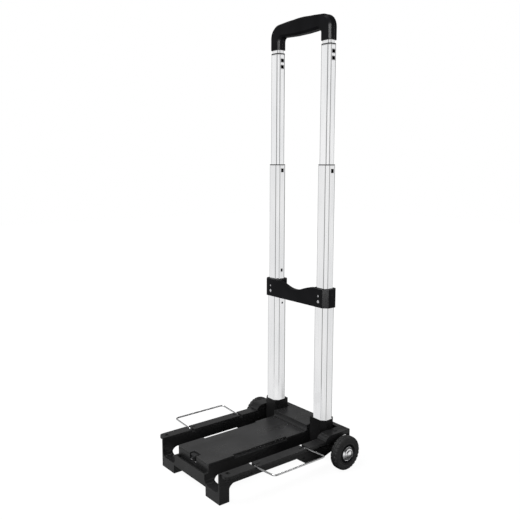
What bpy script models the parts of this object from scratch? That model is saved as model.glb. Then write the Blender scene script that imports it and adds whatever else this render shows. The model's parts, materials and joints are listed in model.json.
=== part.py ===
"""A folding luggage cart: a black moulded base with two wheels and two swing-out wire loops, and a pair
of three-stage telescopic aluminium poles that fold forward into the base. Metres, +Z up, toe towards -Y."""

import math

import bmesh
import bpy
from mathutils import Matrix, Vector

GAP = 0.0003  # clearance between pieces that touch on the real cart

# Driving dimensions of the base
WHEEL_RADIUS = 0.0375
POLE_Y = 0.1318  # the poles and their hinge; the wheels sit a little further back
WHEEL_Y = POLE_Y + 0.0024
FRONT_Y = POLE_Y - 0.3035
RAIL_TOP = 0.0647
PLATE_TOP = 0.0636
PLATE_THICK = 0.003
DECK_TOP = 0.0771
DECK_REAR = POLE_Y + 0.0355
DECK_OUT = 0.1325
POST_DEEP = 0.004
BOX_HALF = 0.0574  # the central box, between the two channels
BOX_WALL = 0.007
BOX_FRONT = FRONT_Y + 0.0104
CHANNEL_OUT = 0.1056  # the channel's outer wall
RAIL_WALL = 0.0042
FLANGE_OUT = 0.130
FLANGE_UNDER = 0.0577
ARCH_Z = 0.0372  # underside of the outer walls, between the foot and the wheel
BOX_UNDER = 0.0345
FOOT_DEEP = 0.0238
FOOT_CURVE = 0.013  # the bend where a wall runs down into its foot
CRADLE_Z = 0.0232
BEAM_UNDER = 0.019
BEAM_TOP = 0.0446
RECESS = (0.1152, FRONT_Y + 0.0165, 0.0032)  # the rail's screw recess: x, y and depth
RECESS_RADIUS = 0.0048
RIVET = (POLE_Y - 0.0344, 0.0444)  # y and z of the rivet inside a channel
CATCH_PIVOT = (BOX_FRONT + 0.002, 0.0485)
CATCH_ROOM = (0.012, 0.012)  # half width and depth of the pocket round the catch
PIN_REACH = 0.0160
CUP_FLOOR = 0.0445

# Driving dimensions of the poles and the handle
POLE_X = 0.0812
HINGE_Z = 0.0416
LOWER = (0.02035, 0.0170, 0.0084)  # half width, half depth and corner chamfer of the thickest tube
STAGE_STEPS = (0.00295, 0.0054, 0.0079)  # how far each thinner section is set in from LOWER
TUBE_WALL = 0.0016
SHOE_GROW = 0.0029  # how far the hinge shoe stands outside the lower tube
SHOE_TOP = 0.0975
SHOE_FLOOR = HINGE_Z + 0.0081
CLAMP_GROW = 0.0035
CLAMP = (0.3521, 0.3929)
CLAMP_CAP = 0.0031  # the rim that covers the lower tube's top edge
MIDDLE_FOOT = 0.318
MIDDLE_TOP = 0.6578
UPPER_FOOT = 0.620
UPPER_TOP = 0.9050
NECK_FOOT = 0.872
NECK_TOP = 0.9325
COLLAR = 0.0024
LOCK_LOWER_Z = 0.336
LOCK_UPPER_Z = 0.6465
SLOT_Z = 0.4138
PAIR_Z = (0.8914, 0.8775)
SCREW_Z = (0.3648, 0.3770)
HANDLE_FOOT = 0.9145
GRIP_UNDER = 0.9376
GRIP_TOP = 0.9712
BUTTON_TRAVEL = 0.004
ROD_FOOT = 0.6545
YOKE = (0.9486, 0.9532)
BUTTON_RIM = (0.9590, 0.9618)
BUTTON_TOP = GRIP_TOP + 0.0018
BUTTON_HALF = 0.026

# The wire loops
WIRE = 0.00175
LOOP_X = 0.1188
LOOP_Z = 0.06175
LOOP_REACH = 0.064
LOOP_Y = (POLE_Y - 0.2247, POLE_Y - 0.0888)
LOOP_LEG = 0.0185  # the ends that lie in the rail
LOOP_LIFT = math.radians(4)

# The wheels
AXLE_Z = WHEEL_RADIUS
WHEEL_X = 0.1505
TYRE_HALF = 0.0095
RIM_RADIUS = 0.0212
CAP_RADIUS = 0.0154
CAP_FOOT = WHEEL_X + 0.0081
CAP_HEIGHT = 0.0074
AXLE_RADIUS = 0.004
AXLE_INNER = 0.1130  # where the axle bolt ends, inside the boss
BOSS_OUT = 0.138

COLOURS = {
    "black_abs": (0.020, 0.020, 0.021, 1),
    "gloss_black": (0.012, 0.012, 0.013, 1),
    "aluminium": (0.78, 0.79, 0.80, 1),
    "steel": (0.62, 0.62, 0.63, 1),
    "chrome": (0.86, 0.86, 0.87, 1),
    "rubber": (0.035, 0.035, 0.036, 1),
    "nylon": (0.06, 0.06, 0.062, 1),
}
METALS = ("aluminium", "steel", "chrome")


def clear_scene():
    for found in list(bpy.data.objects):
        bpy.data.objects.remove(found)


def paint(obj, kind):
    """Gives an object its own Principled material of one of the kinds in COLOURS."""
    material = bpy.data.materials.new(obj.name + "_" + kind)
    material.use_nodes = True
    shader = material.node_tree.nodes["Principled BSDF"]
    shader.inputs["Base Color"].default_value = COLOURS[kind]
    shader.inputs["Metallic"].default_value = 1.0 if kind in METALS else 0.0
    shader.inputs["Roughness"].default_value = 0.25 if kind in METALS else 0.5
    obj.data.materials.clear()
    obj.data.materials.append(material)
    return obj


def new_object(name, verts, faces):
    mesh = bpy.data.meshes.new(name)
    shape = bmesh.new()
    corners = [shape.verts.new(v) for v in verts]
    for face in faces:
        shape.faces.new([corners[i] for i in face])
    bmesh.ops.recalc_face_normals(shape, faces=shape.faces)
    shape.to_mesh(mesh)
    shape.free()
    obj = bpy.data.objects.new(name, mesh)
    bpy.context.scene.collection.objects.link(obj)
    return obj


# Outlines, as lists of two coordinates


def arc(centre, radius, start, end, steps=6):
    """Points on an arc, from start to end in degrees. The radius may be a pair, for an ellipse."""
    across, up = radius if isinstance(radius, tuple) else (radius, radius)
    points = []
    for i in range(steps + 1):
        angle = math.radians(start + (end - start) * i / steps)
        points.append((centre[0] + across * math.cos(angle), centre[1] + up * math.sin(angle)))
    return points


def octagon(section, centre=(0.0, 0.0)):
    half_x, half_y, cut = section
    corners = [
        (half_x, -half_y + cut),
        (half_x, half_y - cut),
        (half_x - cut, half_y),
        (-half_x + cut, half_y),
        (-half_x, half_y - cut),
        (-half_x, -half_y + cut),
        (-half_x + cut, -half_y),
        (half_x - cut, -half_y),
    ]
    return [(x + centre[0], y + centre[1]) for x, y in corners]


def grown(section, by):
    """The section with its faces moved out by a distance (in, where it is negative)."""
    half_x, half_y, cut = section
    return (half_x + by, half_y + by, cut + by * (2 - math.sqrt(2)))


MIDDLE = grown(LOWER, -STAGE_STEPS[0])
UPPER = grown(LOWER, -STAGE_STEPS[1])
NECK = grown(LOWER, -STAGE_STEPS[2])


# Solids


def prism(name, outline, axis, low, high):
    """A closed prism. The outline's two coordinates are the two axes other than axis, in X, Y, Z order."""
    count = len(outline)

    def place(point, along):
        if axis == "X":
            return (along, point[0], point[1])
        if axis == "Y":
            return (point[0], along, point[1])
        return (point[0], point[1], along)

    verts = [place(p, low) for p in outline] + [place(p, high) for p in outline]
    faces = [tuple(range(count)), tuple(range(count, 2 * count))]
    for i in range(count):
        j = (i + 1) % count
        faces.append((i, j, count + j, count + i))
    return new_object(name, verts, faces)


def block(name, x, y, z):
    return prism(name, [(x[0], y[0]), (x[1], y[0]), (x[1], y[1]), (x[0], y[1])], "Z", z[0], z[1])


def rod(name, axis, centre, radius, low, high, sides=24):
    """A round bar along an axis; centre is its place in the two other axes."""
    return prism(name, arc(centre, radius, 0, 360 - 360 / sides, sides - 1), axis, low, high)


def lathe(name, outline, centre, sides=36):
    """A ring turned about an axis along X. The outline is a loop of (x, radius) points."""
    verts = []
    for k in range(sides):
        angle = 2 * math.pi * k / sides
        for x, radius in outline:
            verts.append((x, centre[0] + radius * math.cos(angle), centre[1] + radius * math.sin(angle)))
    count = len(outline)
    faces = []
    for k in range(sides):
        here, there = k * count, ((k + 1) % sides) * count
        for i in range(count):
            j = (i + 1) % count
            faces.append((here + i, here + j, there + j, there + i))
    return new_object(name, verts, faces)


def tube(name, section, wall, x, low, high):
    """A straight hollow pole with an eight-sided section, standing at x."""
    outer = octagon(section, (x, POLE_Y))
    inner = octagon(grown(section, -wall), (x, POLE_Y))
    loops = [(outer, low), (outer, high), (inner, high), (inner, low)]
    verts = [(px, py, z) for outline, z in loops for px, py in outline]
    faces = []
    for ring in range(4):
        start, after = ring * 8, ((ring + 1) % 4) * 8
        for i in range(8):
            j = (i + 1) % 8
            faces.append((start + i, start + j, after + j, after + i))
    return new_object(name, verts, faces)


def bent_wire(name, path, radius, sides=10):
    """A round wire along a path of points, with flat ends."""
    rings = []
    points = [Vector(p) for p in path]
    last = len(points) - 1
    for i, point in enumerate(points):
        before = (point - points[i - 1]).normalized() if i > 0 else (points[1] - point).normalized()
        after = (points[i + 1] - point).normalized() if i < last else before
        along = (before + after).normalized()
        spread = 1 / max(0.5, along.dot(after))  # keeps the wire's thickness through a mitre
        side = Vector((0, 0, 1)) if abs(along.z) < 0.9 else Vector((1, 0, 0))
        flat = along.cross(side).normalized()
        up = flat.cross(along).normalized()
        ring = []
        for k in range(sides):
            angle = 2 * math.pi * k / sides
            ring.append(point + flat * radius * spread * math.cos(angle) + up * radius * math.sin(angle))
        rings.append(ring)
    verts = [tuple(v) for ring in rings for v in ring]
    faces = [tuple(range(sides)), tuple(range(last * sides, (last + 1) * sides))]
    for i in range(last):
        for k in range(sides):
            n = (k + 1) % sides
            low, high = i * sides, (i + 1) * sides
            faces.append((low + k, low + n, high + n, high + k))
    return new_object(name, verts, faces)


def combine(obj, others, operation):
    """Joins, cuts or keeps the overlap of solids, and removes the ones used up."""
    for other in others:
        modifier = obj.modifiers.new("combine", "BOOLEAN")
        modifier.operation = operation
        modifier.object = other
        graph = bpy.context.evaluated_depsgraph_get()
        result = bpy.data.meshes.new_from_object(obj.evaluated_get(graph), depsgraph=graph)
        obj.modifiers.clear()
        obj.data = result
        bpy.data.objects.remove(other)
    return tidy(obj)


def tidy(obj):
    """Merges the doubled points and slivers that joining and cutting leave behind."""
    shape = bmesh.new()
    shape.from_mesh(obj.data)
    bmesh.ops.remove_doubles(shape, verts=shape.verts, dist=0.00001)
    bmesh.ops.dissolve_degenerate(shape, edges=shape.edges, dist=0.00001)
    bmesh.ops.dissolve_limit(shape, angle_limit=0.001, verts=shape.verts, edges=shape.edges)
    bmesh.ops.recalc_face_normals(shape, faces=shape.faces)
    shape.to_mesh(obj.data)
    shape.free()
    return obj


def join(obj, *others):
    return combine(obj, others, "UNION")


def cut(obj, *others):
    return combine(obj, others, "DIFFERENCE")


def mirrored(points, side):
    """An outline of (x, other) points, flipped to the left when side is -1."""
    return [(side * x, other) for x, other in points]


def span(side, low, high):
    """A range in x on one side of the cart, low end first."""
    return (low, high) if side > 0 else (-high, -low)


def side_name(side):
    return "right" if side > 0 else "left"


# The base moulding


def wall_outline():
    """The outer wall from the side: the front leg, the arch behind it and the skirt round the axle."""
    foot_back = FRONT_Y + FOOT_DEEP
    skirt = 0.0194
    outline = [(FRONT_Y, 0.0), (foot_back, 0.0)]
    outline += arc((foot_back + FOOT_CURVE, ARCH_Z - FOOT_CURVE), FOOT_CURVE, 180, 90)
    outline += [
        (POLE_Y - 0.1018, ARCH_Z),
        (POLE_Y - 0.0756, skirt),
        (POLE_Y - 0.0178, skirt),
        (POLE_Y + 0.012, 0.028),
        (DECK_REAR, ARCH_Z),
        (DECK_REAR, RAIL_TOP),
        (FRONT_Y, RAIL_TOP),
    ]
    return outline


def box_side_outline():
    """The central box's side wall: it runs into the foot in front and round the hinge at the back."""
    foot_back = FRONT_Y + FOOT_DEEP
    top = PLATE_TOP - PLATE_THICK - GAP
    outline = [(FRONT_Y, BEAM_UNDER), (foot_back, BEAM_UNDER)]
    outline += arc((foot_back + FOOT_CURVE, BOX_UNDER - FOOT_CURVE), FOOT_CURVE, 190, 90)[1:]
    outline += [
        (POLE_Y - 0.030, BOX_UNDER),
        (POLE_Y - 0.018, HINGE_Z - 0.013),
        (POLE_Y + 0.018, HINGE_Z - 0.013),
        (DECK_REAR, BOX_UNDER),
        (DECK_REAR, top),
        (BOX_FRONT, top),
        (BOX_FRONT, BEAM_TOP),
        (FRONT_Y, BEAM_TOP),
    ]
    return outline


def cradle(side):
    """A front foot: a rounded trough between two walls, which the folded pole rests in."""
    inner, outer, curve = BOX_HALF, CHANNEL_OUT, 0.009
    outline = [
        (inner + 0.003, 0.0),
        (outer + RAIL_WALL, 0.0),
        (outer + RAIL_WALL, BEAM_TOP),
        (outer, BEAM_TOP),
    ]
    outline += arc((outer - curve, CRADLE_Z + curve), curve, 0, -90)
    outline += arc((inner + curve, CRADLE_Z + curve), curve, 270, 180)
    outline += [
        (inner, BEAM_TOP),
        (inner - 0.004, BEAM_TOP),
        (inner - 0.004, BEAM_UNDER),
        (inner + 0.003, BEAM_UNDER),
    ]
    return prism("cradle", mirrored(outline, side), "Y", FRONT_Y, FRONT_Y + FOOT_DEEP)


def flange(side):
    """The rail's flat top, overhanging outwards, with a rounded front corner."""
    front, back, curve = FRONT_Y + 0.0035, POLE_Y + 0.010, 0.009
    outline = [(CHANNEL_OUT, front)]
    outline += arc((FLANGE_OUT - curve, front + curve), curve, -90, 0)
    outline += [(FLANGE_OUT, back), (CHANNEL_OUT, back)]
    return prism("flange", mirrored(outline, side), "Z", FLANGE_UNDER, RAIL_TOP)


def front_beam():
    """The cross beam between the feet, its dark trough and the box's front wall."""
    trough = BEAM_TOP - 0.006
    outline = [
        (FRONT_Y, BEAM_UNDER),
        (BOX_FRONT + 0.004, BEAM_UNDER),
        (BOX_FRONT + 0.004, PLATE_TOP - PLATE_THICK - GAP),
        (BOX_FRONT, PLATE_TOP - PLATE_THICK - GAP),
        (BOX_FRONT, trough),
        (FRONT_Y + 0.003, trough),
        (FRONT_Y + 0.003, BEAM_TOP),
        (FRONT_Y, BEAM_TOP),
    ]
    return prism("beam", outline, "X", -BOX_HALF + 0.001, BOX_HALF - 0.001)


def axle_boss(side):
    x = span(side, CHANNEL_OUT + 0.002, BOSS_OUT)
    return rod("boss", "X", (WHEEL_Y, AXLE_Z), 0.0115, x[0], x[1])


def boss_rib(side):
    """A web that carries the boss from the flange above it."""
    x = span(side, CHANNEL_OUT + 0.002, FLANGE_OUT - 0.004)
    return block("rib", x, (WHEEL_Y - 0.002, WHEEL_Y + 0.002), (AXLE_Z + 0.004, FLANGE_UNDER + 0.002))


def rail_cutters(side):
    """The wire notches across a rail, the loop's pivot bores and windows, and the screw and rivet holes."""
    cutters = []
    notch = 0.0032
    for end, y in enumerate(LOOP_Y):
        inward = 1 if end == 0 else -1  # the loop's ends point towards each other
        x = span(side, CHANNEL_OUT - 0.002, FLANGE_OUT + 0.002)
        cutters.append(block("notch", x, (y - notch, y + notch), (0.0593, RAIL_TOP + 0.002)))
        reach = sorted((y, y + inward * (LOOP_LEG + 0.001)))
        cutters.append(rod("bore", "Y", (side * LOOP_X, LOOP_Z), WIRE + 0.00025, reach[0], reach[1], 16))
        window = sorted((y + inward * 0.0045, y + inward * 0.015))
        x = span(side, LOOP_X - 0.0012, LOOP_X + 0.0012)
        cutters.append(block("window", x, window, (LOOP_Z, RAIL_TOP + 0.002)))
    recess = (RAIL_TOP - RECESS[2], RAIL_TOP + 0.002)
    cutters.append(rod("recess", "Z", (side * RECESS[0], RECESS[1]), RECESS_RADIUS, recess[0], recess[1], 20))
    x = span(side, CHANNEL_OUT - 0.002, CHANNEL_OUT + RAIL_WALL + 0.002)
    cutters.append(rod("rivet_hole", "X", RIVET, 0.0022, x[0], x[1], 16))
    x = span(side, CHANNEL_OUT + 0.0022, CHANNEL_OUT + RAIL_WALL + 0.002)
    for y, z in ((POLE_Y - 0.2257, 0.0455), (POLE_Y - 0.0822, 0.0337)):
        cutters.append(rod("dimple", "X", (y, z), 0.0022, x[0], x[1], 16))
    x = span(side, AXLE_INNER - GAP, BOSS_OUT + 0.004)
    cutters.append(rod("axle_bore", "X", (WHEEL_Y, AXLE_Z), AXLE_RADIUS + GAP, x[0], x[1]))
    return cutters


def box_notch(side):
    """The long step along the box's top edge that takes the loop's bar when it is folded in."""
    x = span(side, BOX_HALF - 0.0056, BOX_HALF + 0.002)
    y = (LOOP_Y[0] - 0.0045, LOOP_Y[1] + 0.0045)
    return block("box_notch", x, y, (0.0572, PLATE_TOP + 0.002))


def catch_cup():
    """The closed pocket behind the box's front wall, which the catch stands in."""
    half, deep = CATCH_ROOM
    skin = 0.0016
    top = PLATE_TOP - PLATE_THICK - GAP
    y = (BOX_FRONT + 0.003, BOX_FRONT + deep + skin)
    cup = block("cup", (-half - skin, half + skin), y, (CUP_FLOOR - skin, top))
    return cut(cup, block("room", (-half, half), (y[0] - 0.001, BOX_FRONT + deep), (CUP_FLOOR, top + 0.001)))


def make_base():
    base = front_beam()
    base.name = "base_frame"
    for side in (1, -1):
        x = span(side, CHANNEL_OUT, CHANNEL_OUT + RAIL_WALL)
        rail = prism("rail", wall_outline(), "X", x[0], x[1])
        x = span(side, BOX_HALF - BOX_WALL, BOX_HALF)
        box_side = prism("box_side", box_side_outline(), "X", x[0], x[1])
        join(base, box_side, cradle(side), rail, flange(side), axle_boss(side), boss_rib(side))
    reach = CHANNEL_OUT + RAIL_WALL - 0.001
    back = (DECK_REAR - 0.006, DECK_REAR - 0.0001)
    join(base, block("back", (-reach, reach), back, (ARCH_Z + 0.001, PLATE_TOP - PLATE_THICK - GAP)))
    reach = BOX_HALF - 0.001
    for y in (POLE_Y - 0.20, POLE_Y - 0.11):
        join(base, block("rib", (-reach, reach), (y - 0.00125, y + 0.00125), (0.044, 0.0565)))
    for side in (1, -1):
        cut(base, *rail_cutters(side), box_notch(side))
    reach = CHANNEL_OUT + RAIL_WALL - 0.0005
    cut(base, rod("hinge_bore", "X", (POLE_Y, HINGE_Z), 0.0033, -reach, reach))
    half = CATCH_ROOM[0]
    mouth = block("mouth", (-half, half), (BOX_FRONT - 0.001, BOX_FRONT + 0.006), (CUP_FLOOR, PLATE_TOP))
    cut(base, mouth)
    reach = PIN_REACH + 0.0005
    cut(join(base, catch_cup()), rod("pin_bore", "X", CATCH_PIVOT, 0.0014, -reach, reach, 16))
    return paint(base, "black_abs")


def make_plate():
    """The flat cover on the central box, which the luggage stands on."""
    under = PLATE_TOP - PLATE_THICK
    y = (BOX_FRONT, POLE_Y - 0.031)
    plate = block("platform_plate", (-BOX_HALF, BOX_HALF), y, (under, PLATE_TOP))
    for side in (1, -1):
        cut(plate, box_notch(side))
    half, deep = CATCH_ROOM
    y = (BOX_FRONT - 0.001, BOX_FRONT + deep)
    cut(plate, block("opening", (-half, half), y, (under - 0.001, PLATE_TOP + 0.001)))
    return paint(plate, "black_abs")


def deck_hump(side):
    """The deck outboard of a pole, rounding down to the rail top in front."""
    low = RAIL_TOP + GAP
    outline = [(DECK_REAR, low), (DECK_REAR, DECK_TOP)]
    outline += arc((POLE_Y - 0.020, low), (0.019, DECK_TOP - low), 90, 180)
    x = span(side, CHANNEL_OUT, DECK_OUT)
    return prism("hump", outline, "X", x[0], x[1])


def corner_post(side):
    """The deck's rear corner, hanging a little lower than the rest behind the wheel."""
    x = span(side, CHANNEL_OUT + RAIL_WALL + 0.0027, DECK_OUT)
    return block("post", x, (DECK_REAR - POST_DEEP, DECK_REAR), (RAIL_TOP - 0.0034, RAIL_TOP + 0.002))


def wheel_gap(side):
    """A cutter that raises the deck's side wall behind the top of a wheel."""
    x = span(side, DECK_OUT - 0.0032, DECK_OUT + 0.001)
    y = (POLE_Y + 0.0102, DECK_REAR - POST_DEEP)
    return block("gap", x, y, (RAIL_TOP - 0.001, RAIL_TOP + 0.0026))


def make_deck():
    """The raised cover across the back of the base, open in front of each pole so that it can fold."""
    step = POLE_Y - 0.026
    toe = POLE_Y - 0.0307
    seat = PLATE_TOP - PLATE_THICK
    outline = [(toe, seat), (DECK_REAR, seat), (DECK_REAR, DECK_TOP), (step, DECK_TOP)]
    outline += [(step, PLATE_TOP + 0.001), (toe, PLATE_TOP + 0.001)]
    deck = prism("rear_deck", outline, "X", -BOX_HALF, BOX_HALF)
    reach = DECK_OUT - 0.001
    y = (POLE_Y + 0.0225, DECK_REAR - 0.0001)
    strip = block("strip", (-reach, reach), y, (RAIL_TOP + GAP, DECK_TOP - 0.00005))
    join(deck, deck_hump(1), deck_hump(-1), strip, corner_post(1), corner_post(-1))
    roof = DECK_TOP - 0.003
    reach = BOX_HALF - 0.0034
    y = (step + 0.003, DECK_REAR - 0.003)
    cavities = [block("cavity", (-reach, reach), y, (seat - 0.001, roof))]
    for side in (1, -1):
        x = span(side, CHANNEL_OUT + 0.003, DECK_OUT - 0.003)
        y = (POLE_Y - 0.020, DECK_REAR - 0.003)
        cavities.append(block("cavity", x, y, (RAIL_TOP, roof)))
        cavities.append(wheel_gap(side))
        x = span(side, CHANNEL_OUT + 0.001, CHANNEL_OUT + 0.0185)
        y = (DECK_REAR - 0.0045, DECK_REAR - 0.002)
        cavities.append(block("groove", x, y, (DECK_TOP - 0.0012, DECK_TOP + 0.001)))
    return paint(cut(deck, *cavities), "black_abs")


def slotted(screw, x, y, z):
    """Cuts a straight driver slot across a screw head."""
    return cut(screw, block("slot", x, y, z))


def make_deck_studs():
    """A low round stud on the deck behind each wheel housing."""
    low, high = DECK_TOP + GAP, DECK_TOP + 0.0016
    for side in (1, -1):
        x, y = side * 0.1185, POLE_Y + 0.004
        stud = rod("deck_screw_" + side_name(side), "Z", (x, y), 0.0042, low, high, 20)
        slotted(stud, (x - 0.0055, x + 0.0055), (y - 0.0006, y + 0.0006), (low + 0.0006, high + 0.001))
        paint(stud, "nylon")


def make_rail_fasteners():
    """The screw in each rail's front recess and the bright rivet low inside each channel."""
    low = RAIL_TOP - RECESS[2] + GAP
    for side in (1, -1):
        name = side_name(side)
        x, y = side * RECESS[0], RECESS[1]
        screw = rod("rail_screw_" + name, "Z", (x, y), RECESS_RADIUS - 0.0007, low, low + 0.0016, 20)
        across = (x - RECESS_RADIUS, x + RECESS_RADIUS)
        slotted(screw, across, (y - 0.0005, y + 0.0005), (low + 0.0009, low + 0.002))
        paint(screw, "steel")
        shank = span(side, CHANNEL_OUT - 0.0005, CHANNEL_OUT + RAIL_WALL + 0.0008)
        head = span(side, CHANNEL_OUT - 0.0008, CHANNEL_OUT - GAP)
        rivet = rod("channel_rivet_" + name, "X", RIVET, 0.0019, shank[0], shank[1], 16)
        paint(join(rivet, rod("head", "X", RIVET, 0.0031, head[0], head[1], 16)), "chrome")


def make_catch():
    """The sprung catch at the front of the box, standing in a pocket, and its pin."""
    y, z = CATCH_PIVOT
    stem = block("front_catch", (-0.004, 0.004), (y - 0.0017, y + 0.0017), (z - 0.0026, 0.0612))
    head = block("head", (-0.008, 0.008), (y - 0.0019, y + 0.0062), (0.0590, 0.0626))
    nose = block("nose", (-0.003, 0.003), (y - 0.0050, y), (0.0545, 0.0575))
    join(stem, head, nose)
    cut(stem, rod("bore", "X", CATCH_PIVOT, 0.0014, -0.006, 0.006, 16))
    paint(stem, "nylon")
    paint(rod("catch_pin", "X", CATCH_PIVOT, 0.0011, -PIN_REACH, PIN_REACH, 16), "steel")


def make_hinge_shaft():
    reach = CHANNEL_OUT + RAIL_WALL - 0.0009
    paint(rod("hinge_shaft", "X", (POLE_Y, HINGE_Z), 0.003, -reach, reach), "steel")


# The wire loops


def make_loop(side):
    """One swing-out loop: a long bar, two arms and two short ends that turn in the rail."""
    front, back = LOOP_Y
    bend = 0.008
    flat = [(0.0, front + LOOP_LEG), (0.0, front + 0.003)]
    flat += arc((0.003, front + 0.003), 0.003, 180, 270, 3)
    flat += arc((LOOP_REACH - bend, front + bend), bend, 270, 360, 5)
    flat += arc((LOOP_REACH - bend, back - bend), bend, 0, 90, 5)
    flat += arc((0.003, back - 0.003), 0.003, 90, 180, 3)
    flat += [(0.0, back - LOOP_LEG)]
    points = []
    for out, y in flat:
        x = side * (LOOP_X + out * math.cos(LOOP_LIFT))
        points.append((x, y, LOOP_Z + out * math.sin(LOOP_LIFT)))
    cleaned = [points[0]]
    for point in points[1:]:
        if (Vector(point) - Vector(cleaned[-1])).length > 0.0001:
            cleaned.append(point)
    return paint(bent_wire("wire_loop_" + side_name(side), cleaned, WIRE), "chrome")


# The wheels


def make_wheel(side):
    name = side_name(side)
    centre = (WHEEL_Y, AXLE_Z)
    bulge = 0.0052
    tyre = [(-TYRE_HALF, RIM_RADIUS)]
    tyre += arc((-TYRE_HALF + bulge, WHEEL_RADIUS - bulge), bulge, 180, 90, 4)
    tyre += arc((TYRE_HALF - bulge, WHEEL_RADIUS - bulge), bulge, 90, 0, 4)
    tyre += [(TYRE_HALF, RIM_RADIUS)]
    outline = [(side * (WHEEL_X + x), r) for x, r in tyre]
    paint(lathe("tyre_" + name, outline, centre), "rubber")
    rim = RIM_RADIUS - GAP
    bore = AXLE_RADIUS + GAP
    face = CAP_FOOT - GAP - WHEEL_X
    hub = [
        (-0.0103, bore),
        (-0.0103, 0.0085),
        (-0.0065, 0.0085),
        (-0.0065, rim - 0.003),
        (-0.0088, rim - 0.003),
        (-0.0088, rim),
        (0.0087, rim),
        (0.0087, rim - 0.0016),
        (0.0050, rim - 0.0024),
        (0.0050, CAP_RADIUS + 0.0002),
        (face, CAP_RADIUS + 0.0002),
        (face, 0.0078),
        (0.0050, 0.0078),
        (0.0050, bore),
    ]
    outline = [(side * (WHEEL_X + x), r) for x, r in hub]
    paint(lathe("wheel_hub_" + name, outline, centre), "gloss_black")
    make_cap(side, name, centre)
    make_axle(side, name, centre)


def make_cap(side, name, centre):
    """The domed chrome cap: a thin shell of a ball, closed to a point on its axis."""
    skin, steps, sides = 0.0014, 5, 28
    ball = (CAP_RADIUS**2 + CAP_HEIGHT**2) / (2 * CAP_HEIGHT)
    middle = CAP_FOOT + CAP_HEIGHT - ball
    widest = math.degrees(math.asin(CAP_RADIUS / ball))
    outside = arc((middle, 0.0), ball, widest, 0, steps)[:-1]
    inner_widest = math.degrees(math.acos((CAP_FOOT - middle) / (ball - skin)))
    inside = arc((middle, 0.0), ball - skin, inner_widest, 0, steps)[:-1]
    profile = list(reversed(inside)) + outside
    verts = []
    for k in range(sides):
        angle = 2 * math.pi * k / sides
        for x, radius in profile:
            y, z = centre[0] + radius * math.cos(angle), centre[1] + radius * math.sin(angle)
            verts.append((side * x, y, z))
    tips = (len(verts), len(verts) + 1)
    verts.append((side * (middle + ball - skin), centre[0], centre[1]))
    verts.append((side * (middle + ball), centre[0], centre[1]))
    count = len(profile)
    faces = []
    for k in range(sides):
        here, there = k * count, ((k + 1) % sides) * count
        for i in range(count - 1):
            faces.append((here + i, here + i + 1, there + i + 1, there + i))
        faces.append((tips[0], here, there))
        faces.append((here + count - 1, tips[1], there + count - 1))
    paint(new_object("hub_cap_" + name, verts, faces), "chrome")


def make_axle(side, name, centre):
    """The bolt a wheel turns on, its head inside the hub cap, and the washer behind the wheel."""
    x = span(side, AXLE_INNER, WHEEL_X + 0.0072)
    bolt = rod("axle_bolt_" + name, "X", centre, AXLE_RADIUS, x[0], x[1])
    x = span(side, WHEEL_X + 0.0053, WHEEL_X + 0.0092)
    paint(join(bolt, rod("head", "X", centre, 0.0065, x[0], x[1])), "steel")
    low, high = BOSS_OUT + GAP, BOSS_OUT + 0.0015
    washer = [(low, AXLE_RADIUS + GAP), (low, 0.009), (high, 0.009), (high, AXLE_RADIUS + GAP)]
    paint(lathe("axle_washer_" + name, [(side * x, r) for x, r in washer], centre, 24), "steel")


# The poles


def side_hole(x, z, section, way, half_y, half_z, deep=0.0045):
    """A cutter for a square-cornered hole in the face of a pole that looks along way in X."""
    face = x + way * section[0]
    low, high = sorted((face + way * 0.001, face - way * deep))
    return block("hole", (low, high), (POLE_Y - half_y, POLE_Y + half_y), (z - half_z, z + half_z))


def pair_holes(x):
    """The two square holes near the top of a pole, through both of its side faces."""
    return [side_hole(x, z, UPPER, way, 0.0041, 0.0036) for z in PAIR_Z for way in (1, -1)]


def lock_windows(x):
    return [side_hole(x, LOCK_UPPER_Z, MIDDLE, way, 0.0039, 0.0043) for way in (1, -1)]


def make_lower_tube(side):
    x = side * POLE_X
    low = SHOE_FLOOR + GAP
    lower = tube("lower_tube_" + side_name(side), LOWER, TUBE_WALL, x, low, CLAMP[1] - CLAMP_CAP - GAP)
    reach = sorted((x, x - side * (LOWER[0] + 0.001)))
    cutters = [rod("hole", "X", (POLE_Y, LOCK_LOWER_Z), 0.0024, reach[0], reach[1], 16)]
    front = POLE_Y - LOWER[1]
    for z in SCREW_Z:
        cutters.append(rod("hole", "Y", (x, z), 0.0016, front - 0.001, front + 0.004, 12))
    paint(cut(lower, *cutters), "aluminium")


def shoe_section(side):
    """The shoe from above: eight-sided outboard, with nearly square corners towards the cart's centre."""
    half_x, half_y, cut_out = grown(LOWER, SHOE_GROW)
    square = 0.003
    outline = [
        (half_x, -half_y + cut_out),
        (half_x, half_y - cut_out),
        (half_x - cut_out, half_y),
        (-half_x + square, half_y),
        (-half_x, half_y - square),
        (-half_x, -half_y + square),
        (-half_x + square, -half_y),
        (half_x - cut_out, -half_y),
    ]
    return [(side * (POLE_X + x), POLE_Y + y) for x, y in outline]


def make_shoe(side):
    """The black foot of a pole: a socket for the tube over a rounded knuckle on the hinge shaft."""
    x = side * POLE_X
    deep = LOWER[1] + SHOE_GROW
    shoe = prism("hinge_shoe_" + side_name(side), shoe_section(side), "Z", HINGE_Z - deep, SHOE_TOP)
    stadium = [(POLE_Y + deep, SHOE_TOP + 0.001), (POLE_Y - deep, SHOE_TOP + 0.001)]
    stadium += arc((POLE_Y, HINGE_Z), deep, 180, 360, 16)
    combine(shoe, [prism("knuckle", stadium, "X", x - 0.03, x + 0.03)], "INTERSECT")
    seat = octagon(grown(LOWER, GAP), (x, POLE_Y))
    pocket = prism("pocket", seat, "Z", SHOE_FLOOR, SHOE_TOP + 0.001)
    bore = rod("bore", "X", (POLE_Y, HINGE_Z), 0.0033, x - 0.03, x + 0.03)
    paint(cut(shoe, pocket, bore), "black_abs")


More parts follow.
